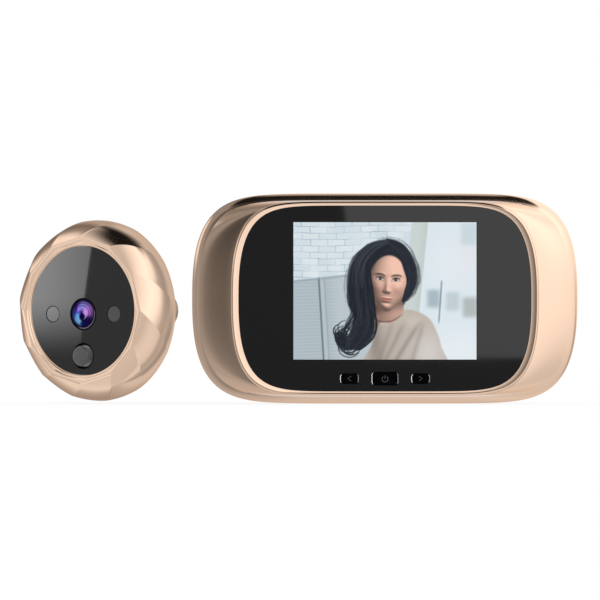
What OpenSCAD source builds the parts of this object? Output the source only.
// Peephole door camera: an indoor monitor on its door bracket, and the outdoor camera head beside it.
// X is to the viewer's right, Y goes back into the door and Z is up. The origin is the centre of the
// bracket's door face. Each housing is drawn with y as the depth behind the crest of its own lip.

/* [Indoor unit] */
// Width of the indoor unit over its outline
unit_w = 121.5; // [118:0.5:132]
// Height of the indoor unit over its outline
unit_h = 66.2; // [65:0.2:74]
// Squareness of the outline's short ends, higher is squarer
end_power = 7.3; // [6:0.1:10]
// Squareness of the outline's long sides, higher is squarer
side_power = 2.6; // [2.4:0.05:3.4]
// Depth from the lip's crest to the line where the two shells part
frame_d = 13; // [12:0.25:14.5]
// Wall of the two moulded shells
wall = 1.6; // [1.2:0.1:2]
// Width in plan of the front frame's rounded outer edge
edge_w = 2.2; // [1.6:0.1:2.4]
// Depth behind the crest at which the rounded outer edge starts
crease_d = 8.4; // [7:0.2:9.4]
// Straight band on each shell beside the parting line
band_w = 1; // [0.5:0.1:1.6]
// How far the rear shell's rounded back edge draws in
rear_edge_w = 5; // [3.5:0.25:5.5]

/* [Lip and window] */
// Distance from the outline to the window at the short ends
border_end = 14.65; // [13.5:0.05:16]
// Distance from the outline to the window along the long sides
border_side = 3.85; // [3.6:0.05:4.4]
// Width of the raised lip at the short ends
lip_end = 1.9; // [1.2:0.05:2.2]
// Width of the raised lip along the long sides
lip_side = 0.95; // [0.7:0.05:1.1]
// Height of the lip's crest above the window's face
lip_rise = 1; // [0.6:0.1:1.4]
// Width of the groove outside the lip
groove_w = 0.4; // [0.2:0.05:0.5]
// Depth of the groove's outer edge below the crest
groove_d = 0.9; // [0.6:0.1:1.2]
// Thickness of the window pane
window_t = 1.5; // [1:0.1:2]
// Gap all round the window pane
window_gap = 0.1; // [0.05:0.05:0.2]
// Width of the ledge that the window is bonded to
ledge_w = 1; // [0.6:0.1:1.2]
// Thickness of that ledge
ledge_t = 1.2; // [0.8:0.1:1.6]

/* [Screen] */
// Distance from the window's short ends to the picture on the 2.8 inch panel
screen_side = 17.3; // [16.5:0.1:20]
// Distance from the window's upper edge to the picture
screen_above = 5.25; // [5:0.05:6.5]
// Distance from the window's lower edge to the picture
screen_below = 10.05; // [10:0.05:12]
// Rim of the panel module beside the picture
lcd_rim_side = 5.8; // [4:0.1:7]
// Rim of the panel module above and below the picture
lcd_rim_end = 3.4; // [2.5:0.1:3.5]
// Thickness of the panel module
lcd_t = 2.4; // [2.2:0.1:3.4]
// Sideways offset of the module's centre from the picture's centre
lcd_shift = 2; // [0:0.2:3]
// Rim of the module's metal tray
tray_rim = 0.8; // [0.5:0.1:1.2]
// Thickness of the glass panel in the tray
glass_t = 1.4; // [1:0.1:1.8]
// Gap between the ledge and the panel module
lcd_gap = 0.1; // [0.05:0.05:0.3]
// Width of the foam frame round the picture
foam_w = 1.5; // [1:0.1:2]
// Margin between the picture and the foam frame
foam_margin = 0.5; // [0.2:0.1:0.8]

/* [Keys] */
// Height of the key row above the window's lower edge
key_rise = 4.05; // [3.8:0.05:4.3]
// Spacing of the three keys
key_pitch = 11.2; // [9.5:0.1:13]
// Width of the two outer keys
key_w = 5.65; // [4.6:0.05:6.4]
// Height of the two outer keys
key_h = 2.9; // [2.4:0.05:3.4]
// Width of the power key in the middle
power_w = 8.2; // [6:0.1:9]
// Height of the power key
power_h = 3.85; // [3:0.05:4]
// Corner radius of the keys
key_corner = 0.9; // [0.4:0.05:1.1]
// How far a key stands proud of the window
key_proud = 0.35; // [0.2:0.05:0.6]
// Travel of a key
key_travel = 0.4; // [0.2:0.05:0.5]
// Gap between a key and its opening
key_gap = 0.15; // [0.1:0.05:0.25]
// Width of the flange that keeps a key behind the window
key_flange = 0.45; // [0.3:0.05:0.5]
// Thickness of that flange
key_flange_t = 0.7; // [0.5:0.1:0.9]
// Radius of a key's stem
key_stem_r = 0.9; // [0.6:0.1:1.2]
// Width of a key switch on the board
switch_w = 4.2; // [3:0.1:5]
// Height of a key switch
switch_h = 3.2; // [2.5:0.1:3.6]
// Thickness of a key switch's body
switch_t = 1.5; // [1:0.1:1.6]
// Height of a key switch's plunger above its body
plunger_t = 0.25; // [0.15:0.05:0.3]
// Radius of that plunger
plunger_r = 0.8; // [0.5:0.1:1]

/* [Board] */
// Thickness of the main board
board_t = 1.2; // [1:0.1:1.6]
// Gap between the main board and the front frame's wall
board_gap = 0.7; // [0.4:0.1:1.2]
// Distance of the board's screws from the window's short ends
board_screw_in_x = 5.6; // [5:0.1:6.5]
// Distance of the board's screws from the window's long sides
board_screw_in_z = 4.75; // [4.2:0.05:5.2]
// Radius of the posts under the board
board_post_r = 2; // [1.7:0.1:2.2]
// Radius of a board screw's shank
board_screw_r = 0.8; // [0.6:0.05:1]
// Radius of a board screw's head
board_head_r = 1.6; // [1.3:0.1:1.9]
// Height of a board screw's head
board_head_t = 0.8; // [0.5:0.1:1]
// Length of a board screw's shank
board_screw_l = 3.2; // [2:0.1:3.4]
// Side of the processor chip
chip_w = 9; // [6:0.5:9.5]
// Side of the memory chip
memory_w = 6; // [4:0.5:8]
// Distance of the chips from the battery bay
chip_gap = 3.7; // [2.5:0.1:4.5]
// Thickness of the chips
chip_t = 1.1; // [0.8:0.1:1.4]
// Length of the ribbon socket on the main board
socket_w = 11; // [8:0.5:14]
// Height of the ribbon socket
socket_h = 3.6; // [3:0.1:5]
// Thickness of the ribbon socket
socket_t = 2; // [1.2:0.1:2.4]

/* [Batteries] */
// Diameter of a cell
cell_d = 10.5; // [10:0.1:11]
// Length of a cell over its contact nub
cell_l = 44.5; // [42:0.1:45]
// Number of cells
cell_count = 3; // [2:1:3]
// Gap between cells and between a cell and its bay
cell_gap = 0.25; // [0.15:0.05:0.4]
// Radius of a cell's contact nub
nub_r = 1.9; // [1.5:0.1:2.4]
// Length of a cell's contact nub
nub_l = 1.2; // [0.8:0.1:1.6]
// Room for the contacts at each end of the bay
contact_room = 1.8; // [1.4:0.1:2.2]
// Thickness of a contact plate
contact_t = 0.5; // [0.3:0.1:0.7]
// Side of a contact plate
contact_w = 8; // [6:0.2:9]
// Radius of a contact's pressed boss
contact_boss_r = 2.4; // [1.5:0.1:3]
// Wall of the battery bay
bay_wall = 1.2; // [1:0.1:1.5]
// Floor of the battery bay
bay_floor_t = 1; // [0.8:0.1:1.4]
// Gap between the main board and the bay's floor
bay_clear = 0.4; // [0.3:0.05:0.8]
// Distance from the unit's outline to the battery bay
bay_inset = 9.75; // [9.5:0.25:10.5]
// Thickness of the battery door
door_t = 1.5; // [1.3:0.1:2]
// How far the battery door laps over the bay's wall
door_lap = 0.8; // [0.5:0.1:1]
// Gap round the battery door
door_gap = 0.15; // [0.1:0.05:0.25]
// Width of the tongues along the battery door
tongue_w = 0.8; // [0.5:0.1:1]
// Thickness of those tongues
tongue_t = 0.7; // [0.5:0.1:0.8]
// Number of grip grooves in the battery door
grip_count = 6; // [3:1:8]
// Spacing of the grip grooves
grip_pitch = 1.8; // [1.4:0.1:2.2]
// Length of the grip grooves
grip_l = 16; // [8:1:22]
// Depth of the grip grooves
grip_d = 0.4; // [0.2:0.1:0.6]

/* [Rear shell] */
// Gap round a screw's shank in the post that it bites into
screw_gap = 0.05; // [0.02:0.01:0.1]
// Gap round a screw in the piece that it clamps
screw_clear = 0.15; // [0.1:0.05:0.25]
// Depth of a screw's hole past the end of the screw
screw_end = 0.5; // [0.2:0.1:0.6]
// Distance of the shell screws from the outline's short ends
shell_screw_in_x = 13.75; // [13:0.25:14.25]
// Place of the shell screws between the battery bay and the long side, as a share of that width
shell_screw_share = 0.2588; // [0.22:0.0001:0.27]
// Radius of the posts round the shell screws
shell_post_r = 2.9; // [2.4:0.1:3]
// Radius of a shell screw's shank
shell_screw_r = 1.25; // [1:0.05:1.4]
// Radius of a shell screw's head
shell_head_r = 2.2; // [1.8:0.1:2.25]
// Height of a shell screw's head
shell_head_t = 1.5; // [1:0.1:2]
// Length of a shell screw's shank
shell_screw_l = 8.5; // [6:0.5:9.5]
// Depth of a shell screw's seat below the back
shell_seat_d = 5; // [4:0.25:6]
// Width of the speaker
speaker_w = 20; // [14:0.5:22]
// Gap between the battery bay and the speaker
speaker_gap = 1.2; // [0.8:0.05:1.8]
// Gap between the speaker and the shell's rounded edge
speaker_clear = 0.2; // [0.1:0.05:0.5]
// Thickness of the speaker
speaker_t = 4; // [3:0.25:5]
// Number of sound slots
sound_slots = 6; // [3:1:7]
// Spacing of the sound slots
sound_pitch = 2.4; // [2:0.1:2.8]
// Width of a sound slot
sound_slot_w = 1.1; // [0.8:0.1:1.4]
// Distance of a sound slot's ends inside the speaker's long edges
sound_margin = 1.2; // [1:0.1:2]

/* [Door bracket] */
// Width and height of the bracket plate
plate_w = 36; // [35:0.5:37]
// Thickness of the bracket's sheet steel
plate_t = 1.2; // [1:0.1:1.5]
// Corner radius of the bracket plate
plate_corner = 3; // [1:0.5:5]
// Sideways distance from the unit's centre to the door hole
hole_offset = 25; // [24.5:0.25:26]
// Gap between the unit's back and the door
wall_gap = 0.6; // [0.4:0.1:0.9]
// Depth of the pocket for the bracket in the unit's back
pocket_d = 1.2; // [1:0.1:1.6]
// Gap round the bracket plate in its pocket
pocket_gap = 0.4; // [0.3:0.05:0.6]
// Distance from the plate's side edge to a hook's centre
hook_in = 3; // [2.9:0.05:3.2]
// Width of a hook
hook_w = 5; // [4:0.25:5.5]
// Distance from the plate's upper edge to the upper hooks
hook_below = 6.5; // [6:0.1:7]
// Distance from the plate's lower edge to the lower hooks
hook_above = 5; // [4.5:0.1:5.5]
// Height of a hook's lip above its stem
hook_lip = 3.6; // [2.5:0.1:4]
// Gap between a hook and the wall that it holds
hook_gap = 0.2; // [0.15:0.05:0.3]
// Radius of the two wood screw holes in the bracket
bracket_hole_r = 2.1; // [1.6:0.1:2.5]
// Distance of those two holes from the plate's upper and lower edges
bracket_hole_in = 5; // [4:0.25:6]
// Gap round the tube's nut in its well in the unit's back
well_gap = 1.1; // [0.8:0.1:1.3]
// Wall of that well
well_wall = 1.2; // [1:0.1:1.4]
// Gap round the ribbon socket in the well's floor
socket_gap = 0.8; // [0.5:0.1:1.2]
// Wall of the nut round the tube
nut_wall = 4; // [3:0.1:4.2]
// Length of the nut
nut_l = 6; // [4:0.25:8]
// Number of finger notches round the nut
notch_count = 10; // [6:1:14]
// Radius of a finger notch
notch_r = 1.6; // [1:0.1:2]

/* [Camera head] */
// Sideways distance from the door hole to the head's door face
head_x = -62.5; // [-70:0.1:-61]
// Place of the head's door face along the depth, negative in front of the bracket's door face
head_y = -4; // [-12:0.5:0]
// Height of the head's centre
head_z = -3.8; // [-8:0.1:4]
// Angle by which the head is turned to the viewer's left
head_yaw = 36; // [0:1:45]
// Largest radius of the head's shell
head_r = 28.6; // [28:0.1:29.4]
// Radius of the head's front lip, at the corners of its crest
head_lip_r = 23.4; // [23:0.1:24]
// Depth of the head's shell
head_shell_d = 12; // [11.5:0.1:13]
// Share of that depth at which the shell is widest
head_widest = 0.78; // [0.7:0.01:0.82]
// Angle by which the shell falls away where it leaves the lip
head_slope = 28; // [22:1:34]
// Number of twisted facets round the shell
facet_count = 12; // [8:1:16]
// Turn of a facet from the front lip to the back edge
facet_twist = 28; // [20:1:40]
// How straight the facets are along the lip, from 0 for round to 1
lip_facet = 1; // [0.6:0.05:1]
// How straight the facets are along the back edge
back_facet = 0.12; // [0.05:0.01:0.3]
// Width of the lip, which slopes in to the head's window
head_lip_w = 3.1; // [2.7:0.1:3.6]
// Height of the head's lip above its window
head_lip_rise = 1.2; // [0.8:0.1:1.4]
// Thickness of the head's window
head_window_t = 1.4; // [1:0.1:1.6]
// Gap round the head's window
head_window_gap = 0.12; // [0.05:0.01:0.2]
// Width of the ledge behind the head's window
head_ledge_w = 1.4; // [1:0.1:1.6]
// Thickness of that ledge
head_ledge_t = 1.1; // [0.8:0.1:1.4]

/* [Head front] */
// Drop of the lens below the head's centre
lens_drop = 1.1; // [0:0.1:1.6]
// Outer radius of the lens barrel
lens_r = 5; // [4:0.1:5.4]
// Air between the lens barrel and the image sensor
sensor_air = 1.1; // [0.6:0.1:1.4]
// How far the barrel stands proud of the window
barrel_proud = 0.4; // [0.2:0.1:0.6]
// Wall of the lens barrel
barrel_wall = 0.5; // [0.4:0.05:0.8]
// Thickness of the front lens
lens_t = 1.6; // [1.2:0.1:1.8]
// How far the front lens's dome stands proud of the barrel
lens_proud = 0.4; // [0.2:0.05:0.6]
// Radius of the front lens's dome
lens_dome_r = 12; // [9:0.25:16]
// Radius of the rear lens
rear_lens_r = 2.6; // [2:0.1:2.8]
// Thickness of the rear lens
rear_lens_t = 1.1; // [0.8:0.1:1.4]
// Gap round glass and barrel
optic_gap = 0.05; // [0.02:0.01:0.1]
// Side of the lens holder's square foot
holder_w = 11.4; // [11:0.1:12]
// Length of the barrel that the holder grips
holder_grip = 1.1; // [0.6:0.1:1.3]
// Side of the image sensor
sensor_w = 6; // [4:0.25:7]
// Thickness of the image sensor
sensor_t = 0.8; // [0.5:0.1:1]
// Gap round the image sensor in the holder's foot
sensor_gap = 0.25; // [0.15:0.05:0.4]
// Distance from the window's edge to an infrared lamp's centre, along the head's width
lamp_in = 8.3; // [7.8:0.1:8.8]
// Radius of an infrared lamp
lamp_r = 2.6; // [2:0.1:2.7]
// Radius of an infrared lamp's base flange
lamp_flange_r = 2.9; // [2.7:0.1:3.2]
// Thickness of that flange
lamp_flange_t = 1; // [0.6:0.1:1.4]
// Gap round an infrared lamp
lamp_gap = 0.1; // [0.05:0.05:0.2]
// How far a lamp's tip lies behind the window's face
lamp_sunk = 0.1; // [0:0.05:0.5]
// Distance from the window's lower edge to the bell button's centre
bell_in = 6; // [5.7:0.1:6.5]
// Radius of the bell button
bell_r = 3.2; // [2.6:0.05:3.3]
// How far the bell button stands proud of the window
bell_proud = 2; // [1.4:0.1:2.4]
// Travel of the bell button
bell_travel = 0.6; // [0.3:0.05:0.7]
// Gap round the bell button
bell_gap = 0.3; // [0.2:0.05:0.4]
// Width of the shallow ring sunk round the bell button
bell_ring_w = 0.6; // [0.3:0.05:0.8]
// Depth of that ring
bell_ring_d = 0.5; // [0.3:0.1:0.8]
// Width of the flange that keeps the button behind the window
bell_flange = 0.9; // [0.7:0.1:1]
// Thickness of that flange
bell_flange_t = 0.8; // [0.5:0.1:1]
// Edge radius of the bell button's cap
bell_edge = 1; // [0.4:0.1:1.2]
// Radius of the bell button's stem
bell_stem_r = 1.2; // [0.8:0.1:1.6]
// Side of the bell switch
bell_switch_w = 6; // [5:0.2:6.4]
// Thickness of the bell switch's body
bell_switch_t = 1.8; // [1.4:0.1:2]
// Gap between a button's flange or stem and what it meets
press_gap = 0.1; // [0.05:0.05:0.15]

/* [Head inside] */
// Gap between the head's board and the flange of the tube
tube_board_gap = 0.3; // [0.2:0.05:0.5]
// Thickness of the head's board
head_board_t = 1.2; // [1:0.1:1.4]
// Gap between the head's board and the posts for the base screws
head_board_gap = 0.8; // [0.5:0.1:1.2]
// Length of the ribbon socket on the head's board
head_socket_w = 7; // [5:0.5:8]
// Height of that socket
head_socket_h = 3.4; // [2.4:0.1:4]
// Thickness of that socket
head_socket_t = 1; // [0.6:0.1:1.1]
// Thickness of the head's base
base_t = 2.4; // [2:0.1:2.6]
// Width of the shell's rim round the base, at the middle of a facet
base_rim = 3; // [2.6:0.05:3.4]
// Gap between the base and the shell
base_gap = 0.15; // [0.1:0.05:0.25]
// Depth of the cavity's taper behind the ledge
cavity_taper_d = 4; // [3:0.25:4.5]
// Distance of the base screws from the base's edge
base_screw_in = 3.2; // [2.8:0.1:3.4]
// Number of base screws
base_screw_count = 3; // [3:1:4]
// Radius of the posts for the base screws
base_post_r = 2.3; // [1.9:0.1:2.4]
// Length of those posts
base_post_l = 6.1; // [5.5:0.1:6.6]
// Radius of a base screw's shank
base_screw_r = 1; // [0.8:0.05:1.2]
// Radius of a base screw's head
base_head_r = 1.9; // [1.5:0.1:2.1]
// Height of a base screw's head
base_head_t = 1.2; // [0.8:0.1:1.4]
// Length of a base screw's shank
base_screw_l = 4.2; // [3:0.1:5]
// Distance of the posts that carry the head's board from its edge
rest_in = 4.3; // [3.5:0.1:5]
// Radius of those posts
rest_r = 1.6; // [1.2:0.1:2]
// Distance from the base's edge to the foam door gasket's
gasket_in = 0.2; // [0:0.1:2]
// Gap between the foam door gasket and the tube
gasket_gap = 1; // [0.75:0.25:4]
// Thickness of the foam door gasket
gasket_t = 2; // [1:0.25:3]

/* [Threaded tube] */
// Outer radius of the tube
tube_r = 6.5; // [6.2:0.1:6.8]
// Wall of the tube round the bore for the ribbon
tube_wall = 2.1; // [1.7:0.1:2.5]
// Length of the tube behind the door gasket
tube_l = 29.5; // [26:0.5:32]
// Step from the tube to the plain shoulder that fills the head's base
tube_shoulder_w = 1; // [0.5:0.1:1.5]
// Step from that shoulder to the flange that holds the tube in the head
tube_flange_w = 2; // [1:0.1:2.8]
// Thickness of that flange
tube_flange_t = 1.1; // [0.8:0.1:1.2]
// Widening of the bore's mouth round the ribbon socket
tube_mouth_w = 1.2; // [0.8:0.1:1.4]
// Running gap of the tube in the base and the nut
tube_fit = 0.06; // [0.02:0.01:0.1]
// Gap of the tube in the bracket's hole
tube_hole_gap = 0.3; // [0.2:0.05:0.5]

/* [Hidden] */
$fn = 64;
// Points round a lofted outline, and steps along a lofted curve
outline_n = 72;
curve_n = 4;
// Shortest straight left between two rounded corners
corner_flat = 0.05;
// Overrun of a cut past the face that it opens, and reach of a cut past everything
over = 0.5;
beyond = 100;

// Depths behind the unit's crest, from the front to the back
window_d = lip_rise;
ledge_d = window_d + window_t;
ledge_back_d = ledge_d + ledge_t;
lcd_d = ledge_back_d + lcd_gap;
board_d = lcd_d + lcd_t;
board_back_d = board_d + board_t;
bay_front_d = board_back_d + bay_clear;
bay_floor_d = bay_front_d + bay_floor_t;
cell_axis_d = bay_floor_d + cell_gap / 2 + cell_d / 2;
door_d = bay_floor_d + cell_d + cell_gap;
unit_d = door_d + door_t;
key_flange_d = ledge_d + press_gap;
plunger_d = board_d - switch_t - plunger_t;
key_stem_d = plunger_d - key_travel - press_gap;
well_floor_d = board_back_d + socket_t + press_gap;
pocket_floor_d = unit_d - pocket_d;
shell_seat = unit_d - shell_seat_d;

// Half sizes in plan
unit_hw = unit_w / 2;
unit_hh = unit_h / 2;
window_hw = unit_hw - border_end;
window_hh = unit_hh - border_side;
foot_hw = window_hw + lip_end + groove_w;
foot_hh = window_hh + lip_side + groove_w;
crease_hw = unit_hw - edge_w;
crease_hh = unit_hh - edge_w;
bay_hh = (cell_count * cell_d + (cell_count + 1) * cell_gap) / 2;
bay_x1 = unit_hw - bay_inset;
bay_x0 = bay_x1 - cell_l - 2 * contact_room;
bay_x = (bay_x0 + bay_x1) / 2;
door_x0 = bay_x0 - door_lap;
door_hh = bay_hh + door_lap;
sill_x1 = unit_hw - rear_edge_w + wall / 2;
screen_w = 2 * (window_hw - screen_side);
screen_h = 2 * window_hh - screen_above - screen_below;
screen_z = (screen_below - screen_above) / 2;
lcd_w = screen_w + 2 * lcd_rim_side;
lcd_h = screen_h + 2 * lcd_rim_end;
key_z = key_rise - window_hh;
bay_z = bay_hh + bay_wall;
speaker_top = -bay_z - speaker_gap;
speaker_h = unit_hh - rear_edge_w - wall - speaker_clear + speaker_top;
speaker_z = speaker_top - speaker_h / 2;
sound_slot_l = speaker_h - 2 * sound_margin;
shell_screw_z = bay_z + (unit_hh - bay_z) * shell_screw_share;
board_spots = corners(window_hw - board_screw_in_x, window_hh - board_screw_in_z);
shell_spots = corners(unit_hw - shell_screw_in_x, shell_screw_z);

// The bracket's hooks: how far the unit lifts, and the slot that a hook passes through
lift = hook_lip + hook_gap + press_gap;
hook_back = wall_gap + pocket_d + wall + hook_gap;
slot_h = plate_t + hook_lip + 2 * hook_gap;
plate_hw = plate_w / 2;
hook_x = plate_hw - hook_in;
hook_spots = [for (x = [-hook_x, hook_x], z = [plate_hw - hook_below, hook_above - plate_hw]) [x, z]];
nut_r = tube_r + nut_wall;
well_r = nut_r + well_gap;

// Depths and radii of the head
head_depth = head_shell_d + gasket_t;
head_window_d = head_lip_rise;
head_ledge_d = head_window_d + head_window_t;
head_window_r = head_lip_r - head_lip_w;
head_cavity_d = head_ledge_d + head_ledge_t;
lamp_x = head_window_r - lamp_in;
bell_drop = head_window_r - bell_in;
base_d = head_shell_d - base_t;
base_seat = head_shell_d - base_head_t;
head_board_back_d = base_d - tube_flange_t - tube_board_gap;
head_board_d = head_board_back_d - head_board_t;
bell_flange_d = head_ledge_d + press_gap;
bell_plunger_d = head_board_d - bell_switch_t - plunger_t;
bell_stem_d = bell_plunger_d - bell_travel - press_gap;
barrel_d = head_window_d - barrel_proud;
barrel_back_d = head_board_d - sensor_t - sensor_air;
tube_bore_r = tube_r - tube_wall;
tube_mouth_r = tube_bore_r + tube_mouth_w;
tube_shoulder_r = tube_r + tube_shoulder_w;
tube_flange_r = tube_shoulder_r + tube_flange_w;

// The head's profile is an arc of an ellipse, from its slope at the lip, past its widest ring, to the back
head_dome_d = head_widest * head_shell_d / cos(head_slope);
head_arc = acos(cos(head_slope) - head_shell_d / head_dome_d);
head_core_r = (head_lip_r - head_r * sin(head_slope)) / (1 - sin(head_slope));
head_back_r = head_core_r + (head_r - head_core_r) * sin(head_arc);
facet_step = 360 / facet_count;
facet_dip = 1 - cos(facet_step / 2);
base_r = head_back_r * (1 - back_facet * facet_dip) - base_rim;
gasket_r = base_r - gasket_in;
gasket_hole_r = tube_shoulder_r + gasket_gap;
base_screw_pcr = base_r - base_screw_in;
head_board_r = base_screw_pcr - base_post_r - head_board_gap;
rest_pcr = head_board_r - rest_in;
// The first base screw is at the top, and the posts under the board stand between the screws
base_turn = 90;
base_spots = ring_spots(base_screw_pcr, base_screw_count, base_turn);
rest_spots = ring_spots(rest_pcr, base_screw_count, base_turn - 180 / base_screw_count);

function corners(x, z) = [for (sx = [-1, 1], sz = [-1, 1]) [sx * x, sz * z]];

function ring_spots(r, count, start) =
    [for (i = [0:count - 1]) let (a = start + 360 * i / count) [r * cos(a), r * sin(a)]];

// Signed power, for the outline |x / hw| ^ end_power + |z / hh| ^ side_power = 1
function signed_pow(v, e) = sign(v) * pow(abs(v), e);

function outline(hw, hh) = [
    for (i = [0:outline_n - 1]) let (t = 360 * i / outline_n)
        [hw * signed_pow(cos(t), 2 / end_power), hh * signed_pow(sin(t), 2 / side_power)]
];

// One ring of points in space: an outline at its depth
function ring_at(s) = [for (p = outline(s[0], s[1])) [p[0], s[2], p[1]]];

// Steps round a quarter turn, and a rounded rectangle as points
corner_n = 6;
function rounded(w, h, r) = [
    for (c = [[1, 1, 0], [-1, 1, 90], [-1, -1, 180], [1, -1, 270]], k = [0:corner_n])
        let (a = c[2] + 90 * k / corner_n)
            [c[0] * (w / 2 - r) + r * cos(a), c[1] * (h / 2 - r) + r * sin(a)]
];

// Skin over rings of points: closed back on itself, or capped at both ends
module skin(rings, closed = false) {
    n = len(rings[0]);
    m = len(rings);
    spans = closed ? m : m - 1;
    points = [for (ring = rings) each ring];
    sides = [
        for (j = [0:spans - 1], i = [0:n - 1])
            let (a = j * n, b = ((j + 1) % m) * n, k = (i + 1) % n)
                each [[a + i, b + i, b + k], [a + i, b + k, a + k]]
    ];
    caps = closed ? [] : [[for (i = [0:n - 1]) i], [for (i = [n - 1:-1:0]) (m - 1) * n + i]];
    polyhedron(points, concat(sides, caps), convexity = 6);
}

// Extrudes a plan drawing in x and z between two depths
module slab(d0, d1) {
    translate([0, d1, 0]) rotate([90, 0, 0]) linear_extrude(d1 - d0) children();
}

// Round bar along the depth
module rod(r, d0, d1, at = [0, 0]) {
    translate([at[0], d0, at[1]]) rotate([-90, 0, 0]) cylinder(r = r, h = d1 - d0);
}

// Box between two corners
module block(low, high) {
    translate(low) cube(high - low);
}

// Profile of radius and depth, spun round the depth axis
module spun(profile, at = [0, 0]) {
    translate([at[0], 0, at[1]]) rotate([-90, 0, 0]) rotate_extrude() polygon(profile);
}

// Puts a piece that is drawn behind the unit's crest in its place
module at_unit() {
    translate([hole_offset, -unit_d - wall_gap, 0]) children();
}

// Puts a piece that is drawn behind the head's crest in its place
module at_head() {
    translate([head_x, head_y, head_z]) rotate([0, 0, -head_yaw]) translate([0, -head_depth, 0]) children();
}

// Rounded outer edge of the front frame, from the parting line to the crease
edge_d = frame_d - band_w;
frame_edge = [
    for (k = [0:curve_n])
        let (a = 90 - 45 * k / curve_n, in = edge_w * (1 - sin(a)) / (1 - sin(45)))
            [unit_hw - in, unit_hh - in, edge_d - (edge_d - crease_d) * cos(a) / cos(45)]
];
// Flank that rises from the crease to the groove at the lip's foot, steeper towards the outside
frame_flank = [
    for (k = [1:curve_n])
        let (u = 1 - k / curve_n)
            [
                foot_hw + (crease_hw - foot_hw) * u,
                foot_hh + (crease_hh - foot_hh) * u,
                groove_d + (crease_d - groove_d) * (0.6 * u + 0.4 * u * u)
            ]
];
// Lip, window seat and ledge
frame_lip = [
    [foot_hw - groove_w / 2, foot_hh - groove_w / 2, groove_d + groove_w],
    [foot_hw - groove_w, foot_hh - groove_w, groove_w / 2],
    [foot_hw - 2 * groove_w, foot_hh - 1.5 * groove_w, 0],
    [window_hw + window_gap, window_hh + window_gap, window_d],
    [window_hw + window_gap, window_hh + window_gap, ledge_d],
    [window_hw - ledge_w, window_hh - ledge_w, ledge_d],
    [window_hw - ledge_w, window_hh - ledge_w, ledge_back_d]
];
// Inside of the frame's wall
frame_inside = [
    [foot_hw, foot_hh - wall, ledge_back_d],
    [crease_hw - wall, crease_hh - wall, crease_d + wall / 2],
    [unit_hw - wall, unit_hh - wall, edge_d],
    [unit_hw - wall, unit_hh - wall, frame_d]
];

module front_frame() {
    sections = concat([[unit_hw, unit_hh, frame_d]], frame_edge, frame_flank, frame_lip, frame_inside);
    color([0.85, 0.70, 0.58]) at_unit() difference() {
        union() {
            skin([for (s = sections) ring_at(s)], closed = true);
            for (p = shell_spots) rod(shell_post_r, ledge_back_d + wall, frame_d, p);
            for (p = board_spots) rod(board_post_r, ledge_d + ledge_t / 2, board_d, p);
        }
        for (p = shell_spots)
            rod(shell_screw_r + screw_gap, shell_seat - shell_screw_l - screw_end, frame_d + over, p);
        for (p = board_spots)
            rod(board_screw_r + screw_gap, board_back_d - board_screw_l - screw_end, board_d + over, p);
    }
}

module key_openings(gap) {
    for (side = [-1, 1]) translate([side * key_pitch, key_z])
        polygon(rounded(key_w + 2 * gap, key_h + 2 * gap, key_corner + gap));
    translate([0, key_z]) polygon(rounded(power_w + 2 * gap, power_h + 2 * gap, key_corner + gap));
}

module front_window() {
    color([0.05, 0.05, 0.06]) at_unit() slab(window_d, ledge_d) difference() {
        polygon(outline(window_hw, window_hh));
        key_openings(key_gap);
    }
}

module screen_gasket() {
    inner_w = screen_w + 2 * foam_margin;
    inner_h = screen_h + 2 * foam_margin;
    color([0.12, 0.12, 0.12]) at_unit() slab(ledge_d, lcd_d) translate([0, screen_z]) difference() {
        square([inner_w + 2 * foam_w, inner_h + 2 * foam_w], center = true);
        square([inner_w, inner_h], center = true);
    }
}

module lcd_panel() {
    in = 2 * (tray_rim + optic_gap);
    color([0.62, 0.70, 0.74]) at_unit() slab(lcd_d, lcd_d + glass_t) translate([lcd_shift, screen_z])
        square([lcd_w - in, lcd_h - in], center = true);
}

module lcd_tray() {
    color([0.72, 0.73, 0.74]) at_unit() translate([lcd_shift, 0, screen_z]) difference() {
        slab(lcd_d, board_d) square([lcd_w, lcd_h], center = true);
        slab(lcd_d - over, lcd_d + glass_t)
            square([lcd_w - 2 * tray_rim, lcd_h - 2 * tray_rim], center = true);
    }
}

module key(x, w, h) {
    grow = 2 * key_flange;
    color([0.06, 0.06, 0.07]) at_unit() {
        translate([x, 0, key_z]) {
            slab(window_d - key_proud, key_flange_d) polygon(rounded(w, h, key_corner));
            slab(key_flange_d, key_flange_d + key_flange_t)
                polygon(rounded(w + grow, h + grow, key_corner + key_flange));
        }
        rod(key_stem_r, key_flange_d, key_stem_d, [x, key_z]);
    }
}

module left_key() {
    key(-key_pitch, key_w, key_h);
}

module power_key() {
    key(0, power_w, power_h);
}

module right_key() {
    key(key_pitch, key_w, key_h);
}

module key_switches() {
    color([0.75, 0.75, 0.74]) at_unit() for (x = [-key_pitch, 0, key_pitch]) {
        slab(board_d - switch_t, board_d) translate([x, key_z]) square([switch_w, switch_h], center = true);
        rod(plunger_r, plunger_d, board_d - switch_t, [x, key_z]);
    }
}

module main_board() {
    color([0.10, 0.34, 0.20]) at_unit() difference() {
        slab(board_d, board_back_d) polygon(outline(foot_hw - board_gap, foot_hh - wall - board_gap));
        for (p = shell_spots) rod(shell_post_r + board_gap, board_d - over, board_back_d + over, p);
        for (p = board_spots) rod(board_screw_r + screw_clear, board_d - over, board_back_d + over, p);
    }
}

module board_chips() {
    chip_x = bay_x0 - bay_wall - chip_gap - chip_w / 2;
    color([0.09, 0.09, 0.10]) at_unit() slab(board_back_d, board_back_d + chip_t) {
        translate([chip_x, chip_w]) square(chip_w, center = true);
        translate([chip_x, -memory_w]) square(memory_w, center = true);
    }
}

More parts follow.
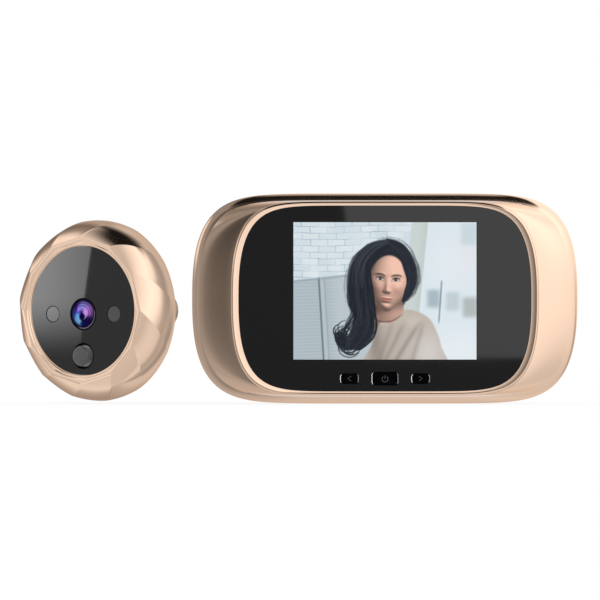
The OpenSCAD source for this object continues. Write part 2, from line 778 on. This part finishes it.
// Pan-head screw along the depth: its shank points to the front from under the head
module screw(r, l, head_r, head_t, seat, at) {
    rod(r, seat - l, seat, at);
    rod(head_r, seat, seat + head_t, at);
}

module board_screws() {
    color([0.70, 0.70, 0.72]) at_unit() for (p = board_spots)
        screw(board_screw_r, board_screw_l, board_head_r, board_head_t, board_back_d, p);
}

module ribbon_socket() {
    color([0.90, 0.88, 0.82]) at_unit() slab(board_back_d, board_back_d + socket_t)
        translate([-hole_offset, 0]) difference() {
            square([socket_w, socket_h], center = true);
            square([socket_w - socket_h / 2, socket_h / 4], center = true);
        }
}

module speaker() {
    color([0.16, 0.16, 0.17]) at_unit() slab(unit_d - wall - speaker_t, unit_d - wall)
        translate([bay_x, speaker_z]) polygon(rounded(speaker_w, speaker_h, speaker_h / 4));
}

// Outside of the rear shell, from its flat back to the parting line
rear_edge_d = unit_d - frame_d - band_w;
rear_outside = concat(
    [
        for (k = [0:curve_n])
            let (a = 90 - 90 * k / curve_n, in = rear_edge_w * (1 - cos(a)))
                [unit_hw - in, unit_hh - in, frame_d + band_w + rear_edge_d * sin(a)]
    ],
    [[unit_hw, unit_hh, frame_d]]
);
// Inside of the rear shell, from the parting line to the floor behind the flat back
rear_inside = concat(
    [[unit_hw - wall, unit_hh - wall, frame_d]],
    [
        for (k = [0:curve_n])
            let (a = 90 * k / curve_n, in = wall + rear_edge_w * (1 - cos(a)))
                [unit_hw - in, unit_hh - in, frame_d + band_w + (rear_edge_d - wall) * sin(a)]
    ]
);

// Battery door's opening: the plate with its tongues, grown by a gap and run off past the short end
module door_space(gap) {
    block([door_x0 - gap, door_d - gap, -door_hh - gap], [beyond, unit_d + over, door_hh + gap]);
    block(
        [door_x0 - gap, door_d - gap, -door_hh - tongue_w - gap],
        [beyond, door_d + tongue_t + gap, door_hh + tongue_w + gap]
    );
}

// Plan of the nut well, drawn out downwards so that the unit can be lifted past the nut
module well_plan(r) {
    translate([0, -lift / 2]) polygon(rounded(2 * r, 2 * r + lift, r - corner_flat));
}

// Walls inside the rear shell: battery bay with its sill, bracket seat and nut well
module rear_walls() {
    seat_x = plate_hw + pocket_gap + wall;
    seat_d = pocket_floor_d - wall;
    block([bay_x0 - bay_wall, bay_front_d, -bay_z], [bay_x1 + bay_wall, door_d, bay_z]);
    block([bay_x1, door_d - wall, -bay_z], [sill_x1, door_d, bay_z]);
    translate([-hole_offset, 0, 0]) {
        block([-seat_x, seat_d, -seat_x - lift], [seat_x, unit_d - wall / 2, seat_x]);
        slab(well_floor_d, seat_d + over) well_plan(well_r + well_wall);
    }
    for (p = shell_spots) rod(shell_post_r, frame_d, unit_d - wall / 2, p);
}

// What is cut out of the rear shell for the bracket, its hooks, the nut and the ribbon socket
module bracket_space() {
    pocket_x = plate_hw + pocket_gap;
    slot_x = hook_w / 2 + pocket_gap;
    window_x = socket_w / 2 + socket_gap;
    window_z = socket_h / 2 + socket_gap;
    block([-pocket_x, pocket_floor_d, -pocket_x - lift], [pocket_x, unit_d + over, pocket_x]);
    slab(well_floor_d + well_wall, unit_d) well_plan(well_r);
    block([-window_x, well_floor_d - over, -window_z], [window_x, well_floor_d + well_wall + over, window_z]);
    for (p = hook_spots) translate([p[0], 0, p[1] + plate_t])
        block([-slot_x, pocket_floor_d - wall - over, -slot_h], [slot_x, pocket_floor_d + over, press_gap]);
}

module rear_shell() {
    sections = concat(rear_outside, rear_inside);
    color([0.85, 0.70, 0.58]) at_unit() difference() {
        union() {
            skin([for (s = sections) ring_at(s)]);
            rear_walls();
        }
        block([bay_x0, bay_floor_d, -bay_hh], [bay_x1, unit_d + over, bay_hh]);
        door_space(door_gap);
        translate([-hole_offset, 0, 0]) bracket_space();
        for (p = shell_spots) {
            rod(shell_screw_r + screw_clear, frame_d - over, unit_d, p);
            rod(shell_head_r + screw_clear, shell_seat, unit_d + over, p);
        }
        for (k = [0:sound_slots - 1])
            slab(unit_d - wall - over, unit_d + over)
                translate([bay_x + sound_pitch * (k - (sound_slots - 1) / 2), speaker_z])
                    polygon(rounded(sound_slot_w, sound_slot_l, sound_slot_w / 2 - corner_flat));
    }
}

module shell_screws() {
    color([0.62, 0.62, 0.64]) at_unit() for (p = shell_spots)
        screw(shell_screw_r, shell_screw_l, shell_head_r, shell_head_t, shell_seat, p);
}

module battery_door() {
    grip_x = bay_x1 - grip_count * grip_pitch;
    color([0.85, 0.70, 0.58]) at_unit() difference() {
        intersection() {
            skin([for (s = rear_outside) ring_at(s)]);
            door_space(0);
        }
        for (k = [0:grip_count - 1]) translate([grip_x + k * grip_pitch, 0, 0])
            block([0, unit_d - grip_d, -grip_l / 2], [grip_pitch / 2, unit_d + over, grip_l / 2]);
    }
}

// Every second cell points the other way
module battery_cells() {
    color([0.16, 0.30, 0.42]) at_unit() for (k = [0:cell_count - 1])
        translate([bay_x, cell_axis_d, (k - (cell_count - 1) / 2) * (cell_d + cell_gap)])
            rotate([0, k % 2 == 0 ? 90 : -90, 0]) translate([0, 0, -cell_l / 2]) {
                cylinder(d = cell_d, h = cell_l - nub_l);
                cylinder(r = nub_r, h = cell_l);
            }
}

module battery_contacts() {
    reach = contact_room - press_gap;
    color([0.78, 0.78, 0.76]) at_unit() for (k = [0:cell_count - 1], side = [-1, 1])
        translate([bay_x + side * (cell_l / 2 + contact_room), cell_axis_d, 0])
            translate([0, 0, (k - (cell_count - 1) / 2) * (cell_d + cell_gap)]) rotate([0, -90 * side, 0]) {
                translate([-contact_w / 2, -contact_w / 2, 0]) cube([contact_w, contact_w, contact_t]);
                cylinder(r1 = contact_boss_r, r2 = contact_boss_r / 2, h = reach);
            }
}

module door_bracket() {
    color([0.66, 0.67, 0.69]) {
        difference() {
            slab(-plate_t, 0) polygon(rounded(plate_w, plate_w, plate_corner));
            rod(tube_r + tube_hole_gap, -plate_t - over, over);
            for (side = [-1, 1])
                rod(bracket_hole_r, -plate_t - over, over, [0, side * (plate_hw - bracket_hole_in)]);
        }
        for (p = hook_spots) translate([p[0], 0, p[1]]) {
            block([-hook_w / 2, -hook_back - plate_t, 0], [hook_w / 2, -plate_t, plate_t]);
            block([-hook_w / 2, -hook_back - plate_t, 0], [hook_w / 2, -hook_back, plate_t + hook_lip]);
        }
    }
}

// Finger nut for the tube, where it clamps the bracket: in the well, against the bracket's front
module tube_nut() {
    back = -plate_t - press_gap;
    front = back - nut_l;
    color([0.72, 0.70, 0.66]) difference() {
        rod(nut_r, front, back);
        rod(tube_r + tube_fit, front - over, over);
        for (p = ring_spots(nut_r + notch_r / 2, notch_count, 0)) rod(notch_r, front - over, over, p);
    }
}

// Rings along the head's profile, and points along each facet
head_curve_n = 12;
facet_points = 5;
// Angles round the head of the points of a ring whose facets are turned by this much
function facet_local(k) = facet_step * (k / facet_points - 0.5);
function facet_angle(f, k, turn) = base_turn + facet_step * (f + 0.5) + facet_local(k) - turn;
// One twisted ring of the head: straight sides between its corners at the lip, rounder towards the back
function head_ring(a) =
    let (
        share = (a - head_slope) / (head_arc - head_slope),
        r = head_core_r + (head_r - head_core_r) * sin(a),
        flat = back_facet + (lip_facet - back_facet) * pow(1 - share, 2)
    )
    [
        for (f = [0:facet_count - 1], k = [0:facet_points - 1])
            let (
                chord = cos(facet_step / 2) / cos(facet_local(k)),
                reach = r * (1 - flat + flat * chord),
                at = facet_angle(f, k, facet_twist * share)
            )
                [reach * cos(at), head_dome_d * (cos(head_slope) - cos(a)), reach * sin(at)]
    ];
// Round ring on the lip's slope, which falls by its rise from the crest's corners to the window
function lip_ring(r) = [
    for (f = [0:facet_count - 1], k = [0:facet_points - 1])
        let (
            at = facet_angle(f, k, 0),
            d = head_lip_rise * (head_lip_r - r) / (head_lip_w - head_window_gap)
        )
            [r * cos(at), d, r * sin(at)]
];

module head_shell() {
    taper_d = head_cavity_d + cavity_taper_d;
    ledge_r = head_window_r - head_ledge_w;
    cavity_r = base_r - base_gap;
    color([0.86, 0.74, 0.63]) at_head() difference() {
        union() {
            difference() {
                skin(concat(
                    [for (k = [head_curve_n:-1:0])
                        head_ring(head_slope + (head_arc - head_slope) * k / head_curve_n)],
                    [lip_ring(ledge_r)]
                ));
                spun([
                    [0, -over], [head_window_r + head_window_gap, -over],
                    [head_window_r + head_window_gap, head_ledge_d], [ledge_r, head_ledge_d],
                    [ledge_r, head_cavity_d], [cavity_r, taper_d], [cavity_r, base_d],
                    [base_r + base_gap, base_d], [base_r + base_gap, head_shell_d + over],
                    [0, head_shell_d + over]
                ]);
            }
            for (p = base_spots) rod(base_post_r, base_d - base_post_l, base_d, p);
        }
        for (p = base_spots)
            rod(base_screw_r + screw_gap, base_seat - base_screw_l - screw_end, base_d + over, p);
    }
}

module head_window() {
    front = head_window_d - over;
    back = head_ledge_d + over;
    color([0.04, 0.04, 0.05]) at_head() difference() {
        rod(head_window_r, head_window_d, head_ledge_d);
        rod(lens_r + optic_gap, front, back, [0, -lens_drop]);
        for (side = [-1, 1]) rod(lamp_r + lamp_gap, front, back, [side * lamp_x, -lens_drop]);
        rod(bell_r + bell_gap, front, back, [0, -bell_drop]);
        rod(bell_r + bell_gap + bell_ring_w, front, head_window_d + bell_ring_d, [0, -bell_drop]);
    }
}

module lens_barrel() {
    inner = lens_r - barrel_wall;
    seat = barrel_d + lens_t;
    waist = rear_lens_r + optic_gap;
    rear_seat = barrel_back_d - rear_lens_t;
    color([0.07, 0.07, 0.08]) at_head() spun([
        [inner, barrel_d], [lens_r, barrel_d], [lens_r, barrel_back_d], [waist, barrel_back_d],
        [waist, rear_seat], [waist - barrel_wall / 2, rear_seat], [inner - barrel_wall, seat], [inner, seat]
    ], [0, -lens_drop]);
}

// Domed front glass: its face is an arc of the dome, spun round the lens axis
module front_lens() {
    r = lens_r - barrel_wall - optic_gap;
    tip_d = barrel_d - lens_proud;
    half_arc = asin(r / lens_dome_r);
    dome = [for (k = [0:head_curve_n]) let (a = half_arc * k / head_curve_n)
        [lens_dome_r * sin(a), tip_d + lens_dome_r * (1 - cos(a))]];
    color([0.30, 0.32, 0.48]) at_head()
        spun(concat(dome, [[r, barrel_d + lens_t], [0, barrel_d + lens_t]]), [0, -lens_drop]);
}

module rear_lens() {
    color([0.55, 0.62, 0.66]) at_head()
        rod(rear_lens_r, barrel_back_d - rear_lens_t, barrel_back_d, [0, -lens_drop]);
}

module lens_holder() {
    grip_d = barrel_back_d - holder_grip;
    room = sensor_w + 2 * sensor_gap;
    color([0.08, 0.08, 0.09]) at_head() translate([0, 0, -lens_drop]) difference() {
        slab(grip_d, head_board_d) square(holder_w, center = true);
        rod(lens_r + optic_gap, grip_d - over, barrel_back_d);
        rod(rear_lens_r - barrel_wall / 2, grip_d, head_board_d);
        slab(head_board_d - sensor_t - sensor_gap, head_board_d + over) square(room, center = true);
    }
}

module image_sensor() {
    color([0.20, 0.24, 0.34]) at_head() slab(head_board_d - sensor_t, head_board_d)
        translate([0, -lens_drop]) square(sensor_w, center = true);
}

module head_board() {
    color([0.10, 0.34, 0.20]) at_head() rod(head_board_r, head_board_d, head_board_back_d);
}

// Round-nosed lamps on the board, with their noses in the window's holes
module ir_lamps() {
    tip_d = head_window_d + lamp_sunk;
    color([0.70, 0.71, 0.74]) at_head() for (side = [-1, 1]) translate([side * lamp_x, 0, -lens_drop]) {
        intersection() {
            rod(lamp_r, tip_d - over, head_board_d);
            union() {
                translate([0, tip_d + lamp_flange_r, 0]) sphere(lamp_flange_r);
                rod(lamp_flange_r, tip_d + lamp_flange_r, head_board_d);
            }
        }
        rod(lamp_flange_r, head_board_d - lamp_flange_t, head_board_d);
    }
}

module bell_button() {
    front = head_window_d - bell_proud;
    flange_r = bell_r + bell_flange;
    flange_back = bell_flange_d + bell_flange_t;
    edge = [for (k = [0:curve_n]) let (a = 90 * k / curve_n)
        [bell_r - bell_edge + bell_edge * sin(a), front + bell_edge * (1 - cos(a))]];
    color([0.10, 0.10, 0.11]) at_head() spun(concat(
        [[0, front]], edge,
        [
            [bell_r, bell_flange_d], [flange_r, bell_flange_d], [flange_r, flange_back],
            [bell_stem_r, flange_back], [bell_stem_r, bell_stem_d], [0, bell_stem_d]
        ]
    ), [0, -bell_drop]);
}

module bell_switch() {
    color([0.30, 0.30, 0.31]) at_head() {
        slab(head_board_d - bell_switch_t, head_board_d)
            translate([0, -bell_drop]) square([bell_switch_w, bell_switch_w], center = true);
        rod(bell_stem_r, bell_plunger_d, head_board_d - bell_switch_t, [0, -bell_drop]);
    }
}

module head_socket() {
    color([0.90, 0.88, 0.82]) at_head() slab(head_board_back_d, head_board_back_d + head_socket_t)
        difference() {
            square([head_socket_w, head_socket_h], center = true);
            square([head_socket_w - head_socket_h / 2, head_socket_h / 4], center = true);
        }
}

module head_base() {
    color([0.16, 0.15, 0.15]) at_head() difference() {
        union() {
            rod(base_r, base_d, head_shell_d);
            for (p = rest_spots) rod(rest_r, head_board_back_d, base_d + over, p);
        }
        rod(tube_shoulder_r + tube_fit, base_d - over, head_shell_d + over);
        for (p = base_spots) {
            rod(base_screw_r + screw_clear, base_d - over, head_shell_d, p);
            rod(base_head_r + screw_clear, base_seat, head_shell_d + over, p);
        }
    }
}

module base_screws() {
    color([0.62, 0.62, 0.64]) at_head() for (p = base_spots)
        screw(base_screw_r, base_screw_l, base_head_r, base_head_t, base_seat, p);
}

module thread_tube() {
    color([0.80, 0.78, 0.74]) at_head() spun([
        [tube_mouth_r, base_d - tube_flange_t], [tube_flange_r, base_d - tube_flange_t],
        [tube_flange_r, base_d], [tube_shoulder_r, base_d], [tube_shoulder_r, head_depth],
        [tube_r, head_depth], [tube_r, head_depth + tube_l],
        [tube_bore_r, head_depth + tube_l], [tube_bore_r, base_d], [tube_mouth_r, base_d]
    ]);
}

module door_gasket() {
    color([0.13, 0.13, 0.13]) at_head() difference() {
        rod(gasket_r, head_shell_d, head_depth);
        rod(gasket_hole_r, head_shell_d - over, head_depth + over);
    }
}

front_frame();
front_window();
screen_gasket();
lcd_panel();
lcd_tray();
left_key();
power_key();
right_key();
key_switches();
main_board();
board_chips();
board_screws();
ribbon_socket();
speaker();
rear_shell();
shell_screws();
battery_door();
battery_cells();
battery_contacts();
door_bracket();
tube_nut();
head_shell();
head_window();
lens_barrel();
front_lens();
rear_lens();
lens_holder();
image_sensor();
head_board();
ir_lamps();
bell_button();
bell_switch();
head_socket();
head_base();
base_screws();
thread_tube();
door_gasket();
